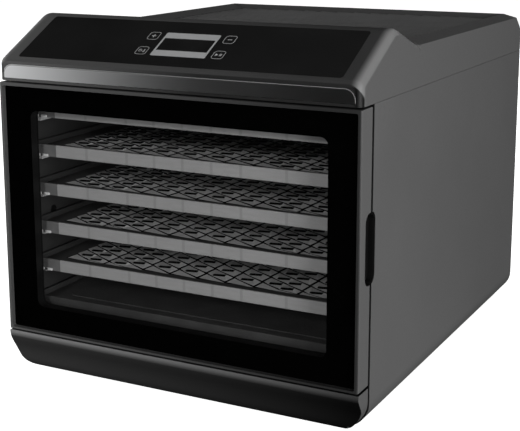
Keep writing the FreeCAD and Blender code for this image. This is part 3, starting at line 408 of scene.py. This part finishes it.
# ---------------------------------------------------------------- mesh helpers
def new_piece(name, mesh, body, slot, *looks):
    """A named piece of the object that rides on a body."""
    piece = bpy.data.objects.new(name, mesh)
    scene.collection.objects.link(piece)
    for look in looks:
        mesh.materials.append(look)
    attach(piece, body)
    return piece


def to_mesh(name, build):
    """Mesh of the faces that build adds to a bmesh."""
    work = bmesh.new()
    build(work)
    bmesh.ops.remove_doubles(work, verts=work.verts, dist=0.000001)
    bmesh.ops.recalc_face_normals(work, faces=work.faces)
    mesh = bpy.data.meshes.new(name)
    work.to_mesh(mesh)
    work.free()
    return mesh


def rounded_loop(x0, x1, y0, y1, radius, extra_x=(), steps=5):
    """Corners of a rounded rectangle, anticlockwise from the front left, with extra front points."""
    centres = ((x0 + radius, y0 + radius, 180), (x1 - radius, y0 + radius, 270),
               (x1 - radius, y1 - radius, 0), (x0 + radius, y1 - radius, 90))
    points = []
    for index, (cx, cy, start) in enumerate(centres):
        for step in range(steps + 1):
            angle = math.radians(start + 90 * step / steps)
            points.append((cx + radius * math.cos(angle), cy + radius * math.sin(angle)))
        if index == 0:
            points += [(x, y0) for x in extra_x]
    return points


def loft(work, rings, look=0, closed=True):
    """Faces between rings of points; a closed loft joins the last ring to the first."""
    made = [[work.verts.new(point) for point in ring] for ring in rings]
    pairs = list(zip(made, made[1:] + made[:1])) if closed else list(zip(made, made[1:]))
    for one, two in pairs:
        for index in range(len(one)):
            after = (index + 1) % len(one)
            face = work.faces.new((one[index], one[after], two[after], two[index]))
            face.material_index = look
    return made


def slab(work, corners, low, high, edge=0.0, look=0):
    """Flat plate over a convex outline given anticlockwise, with a bevelled top edge."""
    middle = sum((Vector(corner) for corner in corners), Vector((0, 0))) / len(corners)
    inner = [Vector(c) + (middle - Vector(c)).normalized() * edge for c in corners]
    rings = [[(c[0], c[1], low) for c in corners], [(c[0], c[1], high - edge) for c in corners],
             [(c.x, c.y, high) for c in inner]]
    made = loft(work, rings, look, closed=False)
    work.faces.new(made[-1]).material_index = look
    work.faces.new(list(reversed(made[0]))).material_index = look


# ---------------------------------------------------------------- trays
RIBS = (-0.140, -0.098, -0.056, -0.028, 0.0, 0.028, 0.056, 0.098, 0.140)
DIAGONAL = -0.571       # fall of the slanting slat rows toward the front, per metre to the right
PITCH = 0.0161          # from one slat row to the next
SHEET = 0.0016          # thickness of a tray floor
BORDER = 0.020          # plain border in front of the slats and behind them
WALL = 0.0023           # thickness of a tray's upright wall


def tray_floor(work, left, right, start, end, top):
    """Slotted floor: slats in slanting cells between the ribs, and the plain border round them."""
    low, high = start + BORDER, end - BORDER
    for x0, x1 in zip(RIBS, RIBS[1:]):
        columns = [(x0, x1)] if x1 - x0 < 0.03 else [(x0, (x0 + x1) / 2), ((x0 + x1) / 2, x1)]
        count = int((high - low) / PITCH) + 6
        for row in range(-3, count):
            for column, (c0, c1) in enumerate(columns):
                slat(work, c0, c1, column, len(columns), low, high, row, top)
    side = RIBS[-1] + 0.001
    for x0, x1, y0, y1 in ((left, -side, start, end), (side, right, start, end),
                           (-side, side, start, low), (-side, side, high, end)):
        slab(work, ((x0, y0), (x1, y0), (x1, y1), (x0, y1)), top - SHEET, top, look=2)


def slat(work, x0, x1, column, columns, low, high, row, top):
    """One slanting cell, higher at its front, with a slot under a raised lip."""
    # The sides of each cell and the walls of its slot take look 1, the near-black web material: painted
    # shade.
    gap_x, gap_y = 0.0013, 0.0007
    left = x0 + (gap_x if column == 0 else 0.0)
    right = x1 - (gap_x if column == columns - 1 else 0.0)

    def front_line(x):
        return low + row * PITCH + DIAGONAL * (x - RIBS[0])

    def height(x, y):
        share = min(max((y - front_line(x)) / PITCH, 0.0), 1.0)
        return top + 0.0008 * (1.0 - share)

    corners = [(left, front_line(left) + gap_y), (right, front_line(right) + gap_y),
               (right, front_line(right) + PITCH - gap_y), (left, front_line(left) + PITCH - gap_y)]
    if max(y for _, y in corners) < low + 0.002 or min(y for _, y in corners) > high - 0.002:
        return
    cut = [(x, min(max(y, low), high)) for x, y in corners]
    rings = [[(x, y, top - SHEET) for x, y in cut], [(x, y, height(x, y)) for x, y in cut]]
    centre_x = (x0 + x1) / 2 if columns == 1 else (x0 + 0.0135 if column == 0 else x0 + 0.0075)
    centre = Vector((centre_x, front_line(centre_x) + 0.0062))
    if not low + 0.003 < centre.y < high - 0.004:
        made = loft(work, rings, 1, closed=False)
        work.faces.new(made[-1])
        return
    tilt = math.radians(20)
    along = Vector((math.cos(tilt), math.sin(tilt))) * 0.0056
    across = Vector((0.0, 0.0018))
    hole = [centre - along - across, centre + along - across, centre + along + across,
            centre - along + across]
    lifts = (0.0, 0.0, 0.0011, 0.0011)
    rings.append([(c.x, c.y, height(c.x, c.y) + lift) for c, lift in zip(hole, lifts)])
    rings.append([(c.x, c.y, top - SHEET) for c in hole])
    for one, two, look in ((0, 1, 1), (1, 2, 0), (2, 3, 1)):
        loft(work, [rings[one], rings[two]], look, closed=False)


def tray_web(work, start, end, top):
    """Ribs from front to back and the thin slanting bars, just under the slats."""
    low, high = start + BORDER, end - BORDER
    half_rib, half_bar = 0.0011, 0.0010
    for x in RIBS:
        slab(work, ((x - half_rib, low), (x + half_rib, low), (x + half_rib, high), (x - half_rib, high)),
             top - 0.0030, top - 0.0010)
    for row in range(-1, int((high - low) / PITCH) + 12):
        ends = [(x, low + row * PITCH + DIAGONAL * (x - RIBS[0])) for x in (RIBS[0], RIBS[-1])]
        clipped = clip_line(ends, low, high)
        if clipped is None:
            continue
        (xa, ya), (xb, yb) = clipped
        slab(work, ((xa, ya - half_bar), (xb, yb - half_bar), (xb, yb + half_bar), (xa, ya + half_bar)),
             top - 0.0028, top - 0.0012)


def clip_line(ends, low, high):
    """The part of a falling line between y = low and y = high."""
    (xa, ya), (xb, yb) = ends
    if ya <= low or yb >= high:
        return None
    rise = (yb - ya) / (xb - xa)
    if ya > high:
        xa, ya = xa + (high - ya) / rise, high
    if yb < low:
        xb, yb = xb + (low - yb) / rise, low
    return None if xb - xa < 0.002 else ((xa, ya), (xb, yb))


def tray_rim(work, x0, x1, y0, y1, top, bottom):
    """Upright wall round the tray, with a rounded top edge and a slight draft."""
    profile = ((0.0006, bottom), (0.0002, bottom + 0.0006), (0.0, top - 0.0008), (0.0003, top - 0.0002),
               (0.0008, top), (0.0018, top), (0.0022, top - 0.0003), (0.0024, top - 0.0010),
               (0.0026, bottom))
    breaks = (-0.131, 0.1385)
    rings = []
    for inset, z in profile:
        loop = rounded_loop(x0 + inset, x1 - inset, y0 + inset, y1 - inset, 0.005 - inset, breaks)
        rings.append([(x, y, z) for x, y in loop])
    loft(work, rings)
    for face in work.faces:
        middle = face.calc_center_median()
        if middle.y < y0 + 0.003:
            face.material_index = 0 if breaks[0] < middle.x < breaks[1] else 1
        else:
            face.material_index = 2


def boss(work, x, y, z, size):
    """Small rounded boss on the back of a tray front."""
    corners = rounded_loop(x - size[0] / 2, x + size[0] / 2, z - size[1] / 2, z + size[1] / 2,
                           min(size) * 0.3, steps=3)
    rings = [[(px, y + size[2], pz) for px, pz in corners], [(px, y + 0.0003, pz) for px, pz in corners],
             [(x + (px - x) * 0.85, y, z + (pz - z) * 0.85) for px, pz in corners]]
    made = loft(work, rings, closed=False)
    work.faces.new(made[-1])
    work.faces.new(list(reversed(made[0])))


def drip_floor(work, left, right, start, end, top):
    """Solid floor of the drip tray, with a shallow raised field."""
    slab(work, ((left, start), (right, start), (right, end), (left, end)), top - SHEET, top, look=2)
    field = rounded_loop(left + BORDER, right - BORDER, start + BORDER, end - BORDER, 0.006)
    slab(work, field, top - 0.0010, top + 0.0006, 0.0005, look=2)


def build_trays():
    for number in range(1, 7):
        name = f"tray_{number}"
        lowest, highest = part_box(name)
        top = highest.z
        floor_top = top - 0.0047
        inside = (lowest.x + WALL, highest.x - WALL, lowest.y + WALL, highest.y - WALL)
        drip = number == 6
        wall = DRIP_TRAY if drip else TRAY_EDGE_SHADE
        rim = new_piece(f"{name}_rim", to_mesh(f"{name}_rim", lambda work: tray_rim(
            work, lowest.x, highest.x, lowest.y, highest.y, top, lowest.z)),
            name, "tray_plastic", *((wall, wall, wall) if drip else (TRAY_FRONT_LOOK, TRAY_CLEAR, wall)))
        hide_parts(name)
        make_floor = drip_floor if drip else tray_floor
        new_piece(f"{name}_floor", to_mesh(f"{name}_floor", lambda work: make_floor(
            work, *inside, floor_top)), name, "tray_plastic", MATERIALS["tray_plastic"], WEB_SHADE, wall)
        if drip:
            continue
        new_piece(f"{name}_web", to_mesh(f"{name}_web", lambda work: tray_web(
            work, inside[2], inside[3], floor_top)), name, "tray_plastic", WEB_SHADE)

        def bosses(work):
            for side in (-1, 1):
                for x, width in ((0.1510, 0.0046), (0.1430, 0.0066)):
                    boss(work, side * x, lowest.y - 0.0004, lowest.z + 0.0012, (width, 0.0024, 0.0030))
        new_piece(f"{name}_bosses", to_mesh(f"{name}_bosses", bosses), name, "tray_plastic",
                  MATERIALS["clip_plastic"])


build_trays()


# ---------------------------------------------------------------- small pieces
def build_liner_plug():
    """Dark round plug in the left wall of the cavity."""
    centre = Vector((-0.1630, -0.1660, 0.1420))

    def build(work):
        rings = []
        for radius, out in ((0.0042, -0.0003), (0.0042, 0.0004), (0.0036, 0.0006), (0.0030, 0.0002)):
            rings.append([centre + Vector((out, radius * math.cos(turn), radius * math.sin(turn)))
                          for turn in (2 * math.pi * step / 24 for step in range(24))])
        made = loft(work, rings, closed=False)
        work.faces.new(made[-1])

    new_piece("liner_plug", to_mesh("liner_plug", build), "case", "black_plastic",
              MATERIALS["black_plastic"])


def build_trim_edge():
    """Thin rod along the top and the rounded ends of the trim strip, in a light grey that paints the
    highlight on its edge.
    """
    low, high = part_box("hood_front_trim")
    inset, radius = 0.0007, 0.0088
    x0, x1, z0, z1 = low.x + inset, high.x - inset, low.z + inset, high.z - inset
    line = [(x0, z0)]
    for cx, start in ((x0 + radius, 180), (x1 - radius, 90)):
        for step in range(9):
            angle = math.radians(start - 90 * step / 8)
            line.append((cx + radius * math.cos(angle), z1 - radius + radius * math.sin(angle)))
    line.append((x1, z0))
    data = bpy.data.curves.new("trim_edge", "CURVE")
    data.dimensions = "3D"
    data.bevel_depth = 0.00028
    data.bevel_resolution = 2
    spline = data.splines.new("POLY")
    spline.points.add(len(line) - 1)
    for point, (x, z) in zip(spline.points, line):
        point.co = (x, low.y, z, 1.0)
    new_piece("trim_edge", data, "case", "bright_trim", TRIM_HIGHLIGHT)


build_liner_plug()
build_trim_edge()


# ---------------------------------------------------------------- key symbols
SLOPE = math.radians(28.07)              # of the control face
FACE = Vector((0.0, -0.2203, 0.2923))    # its lower edge, on the middle plane
UP_SLOPE = Vector((0.0, math.cos(SLOPE), math.sin(SLOPE)))
OUT = Vector((0.0, -math.sin(SLOPE), math.cos(SLOPE)))
INK = 0.00006           # how far the print stands out
SUNK = 0.00004          # how far it reaches into the key


def on_face(x, s, level):
    """Point on the control face: x across, s up the slope, level above it."""
    return FACE + Vector((x, 0.0, 0.0)) + UP_SLOPE * s + OUT * level


def ink(work, outline, level, inner=None):
    """Thin raised print with the given outline of (x, s) points, as a band if inner is given."""
    low = [on_face(x, s, level - SUNK) for x, s in outline]
    high = [on_face(x, s, level + INK) for x, s in outline]
    if inner is None:
        made = loft(work, [low, high], closed=False)
        work.faces.new(made[-1])
        return
    loft(work, [low, high, [on_face(x, s, level + INK) for x, s in inner],
                [on_face(x, s, level - SUNK) for x, s in inner]])


def bar(work, x, s, width, length, level):
    ink(work, rounded_loop(x - width / 2, x + width / 2, s - length / 2, s + length / 2,
                           min(width, length) * 0.3, steps=2), level)


def ring(work, x, s, radius, width, level, steps=20):
    turns = [2 * math.pi * step / steps for step in range(steps)]
    ink(work, [(x + radius * math.cos(t), s + radius * math.sin(t)) for t in turns], level,
        [(x + (radius - width) * math.cos(t), s + (radius - width) * math.sin(t)) for t in turns])


def key_symbol(work, name, x, s, level):
    """Outline near the edge of a key, and a plain sign on it."""
    half_x, half_s, corner, line = 0.0053, 0.0056, 0.0026, 0.00042
    ink(work, rounded_loop(x - half_x, x + half_x, s - half_s, s + half_s, corner), level,
        rounded_loop(x - half_x + line, x + half_x - line, s - half_s + line, s + half_s - line,
                     corner - line))
    if name in ("key_plus", "key_minus"):
        bar(work, x, s, 0.0044, 0.0008, level)
    if name == "key_plus":
        for side in (-1, 1):
            bar(work, x, s + side * 0.0014, 0.0008, 0.0018, level)
    if name == "key_temp_time":
        ring(work, x - 0.0017, s, 0.0017, 0.0004, level)
        bar(work, x - 0.0017, s + 0.0005, 0.0004, 0.0010, level)
        bar(work, x + 0.0022, s + 0.0005, 0.0009, 0.0030, level)
        ring(work, x + 0.0022, s - 0.0016, 0.0009, 0.0005, level)
    if name == "key_start_stop":
        ink(work, [(x - 0.0030, s - 0.0017), (x - 0.0004, s), (x - 0.0030, s + 0.0017)], level)
        for offset in (0.0012, 0.0025):
            bar(work, x + offset, s, 0.0007, 0.0032, level)


def build_key_symbols():
    column, half_key = 0.0368, 0.006
    places = {"key_plus": (-column, 0.0419), "key_temp_time": (-column, 0.0197),
              "key_minus": (column, 0.0419), "key_start_stop": (column, 0.0197)}
    for name, (x, s) in places.items():
        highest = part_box(name)[1].z
        level = (highest - FACE.z - (s + half_key) * math.sin(SLOPE)) / math.cos(SLOPE)
        mesh = to_mesh(f"{name}_print", lambda work: key_symbol(work, name, x, s, level))
        new_piece(f"{name}_print", mesh, name, "key_gloss", PRINT)


build_key_symbols()


# ---------------------------------------------------------------- stage, light and camera
def softbox(name, place, target, width, height, power, glossy=True):
    """Rectangular area light that looks at a point."""
    light = bpy.data.lights.new(name, "AREA")
    light.shape = "RECTANGLE"
    light.size = width
    light.size_y = height
    light.energy = power
    holder = bpy.data.objects.new(name, light)
    scene.collection.objects.link(holder)
    holder.location = place
    holder.rotation_euler = (Vector(target) - Vector(place)).to_track_quat("-Z", "Y").to_euler()
    holder.visible_camera = False
    holder.visible_glossy = glossy
    return holder


def stage_mesh(name, build, look):
    mesh = to_mesh(name, build)
    mesh.materials.append(look)
    piece = bpy.data.objects.new(name, mesh)
    scene.collection.objects.link(piece)
    return piece


def linked(name, pieces):
    """Collection of pieces that a light is limited to."""
    group = bpy.data.collections.new(name)
    for piece in pieces:
        group.objects.link(bpy.data.objects[piece])
    return group


def set_stage():
    floor_look = surface("floor", grey(0.80), 0.9, 0.0, mottle=0.004, mottle_size=0.5,
                         Emission_Strength=0.90)
    floor_look.node_tree.nodes["Principled BSDF"].inputs["Emission Color"].default_value = (1, 1, 1, 1)
    floor = stage_mesh("floor", lambda work: slab(
        work, ((-8, -8), (8, -8), (8, 8), (-8, 8)), -0.01, 0.0), floor_look)
    floor.visible_glossy = False
    sky = bpy.data.materials.new("backdrop")
    sky.use_nodes = True
    shader = sky.node_tree.nodes["Principled BSDF"]
    shader.inputs["Base Color"].default_value = (0.0, 0.0, 0.0, 1.0)
    shader.inputs["Specular IOR Level"].default_value = 0.0
    shader.inputs["Emission Color"].default_value = (1.0, 1.0, 1.0, 1.0)
    shader.inputs["Emission Strength"].default_value = 1.0

    def dome(work):
        bmesh.ops.create_uvsphere(work, u_segments=48, v_segments=24, radius=9.0)

    backdrop = stage_mesh("backdrop", dome, sky)
    floor.visible_diffuse = False
    for path in ("diffuse", "glossy", "transmission", "volume_scatter", "shadow"):
        setattr(backdrop, f"visible_{path}", False)
    world = bpy.data.worlds.new("studio")
    world.use_nodes = True
    background = world.node_tree.nodes["Background"]
    background.inputs["Color"].default_value = (1.0, 1.0, 1.0, 1.0)
    background.inputs["Strength"].default_value = 0.20
    world.cycles_visibility.glossy = False
    scene.world = world
    centre = (0.0, 0.0, 0.16)
    softbox("key_front", (0.5, -4.0, 1.75), centre, 0.5, 0.5, 60, glossy=False)
    softbox("low_front", (0.0, -3.2, 0.42), centre, 1.6, 0.5, 12, glossy=False)
    softbox("side_right", (1.5, -0.9, 0.30), (0.17, -0.1, 0.15), 0.8, 0.8, 27)
    softbox("top", (0.2, 0.2, 2.4), centre, 1.6, 1.6, 6, glossy=False)
    softbox("side_left", (-2.4, 0.4, 1.0), centre, 1.2, 1.2, 30)
    softbox("behind", (0.4, 2.6, 1.2), centre, 1.4, 1.0, 42, glossy=False)
    strip = softbox("trim_reflection", (-1.38, -1.28, 0.12), (-0.1, -0.225, 0.28), 0.8, 0.5, 1.9)
    strip.light_linking.receiver_collection = linked("lit_by_the_strip", ["hood_front_trim"])
    through = softbox("through_the_trays", (0.4, -2.6, 1.25), (0.0, 0.0, 0.17), 0.8, 0.8, 8, glossy=False)
    floors = [f"tray_{number}_floor" for number in range(1, 7)]
    through.light_linking.receiver_collection = linked("lit_through_the_trays", floors)
    through.light_linking.blocker_collection = linked("shades_the_trays", ["door_frame", "hood"])


def set_camera():
    """The photograph's view: from the right, a little above, with the lens shifted down."""
    azimuth, elevation, roll = math.radians(27.34), math.radians(11.70), -0.0011
    back = Vector((math.sin(azimuth) * math.cos(elevation),
                   -math.cos(azimuth) * math.cos(elevation), math.sin(elevation)))
    right = Vector((math.cos(azimuth), math.sin(azimuth), 0.0))
    up = back.cross(right)
    turned = Matrix.Rotation(roll, 3, back)
    right, up = turned @ right, turned @ up
    camera = bpy.data.objects.new("camera", bpy.data.cameras.new("camera"))
    scene.collection.objects.link(camera)
    axes = Matrix((right, up, back)).transposed().to_4x4()
    camera.matrix_world = Matrix.Translation((0.5152, -1.0551, 0.4168)) @ axes
    camera.data.sensor_width = 36.0
    camera.data.lens = 83.50
    camera.data.shift_y = -0.1067
    camera.data.clip_end = 30.0
    scene.camera = camera


set_stage()
set_camera()
scene.view_settings.view_transform = "Standard"
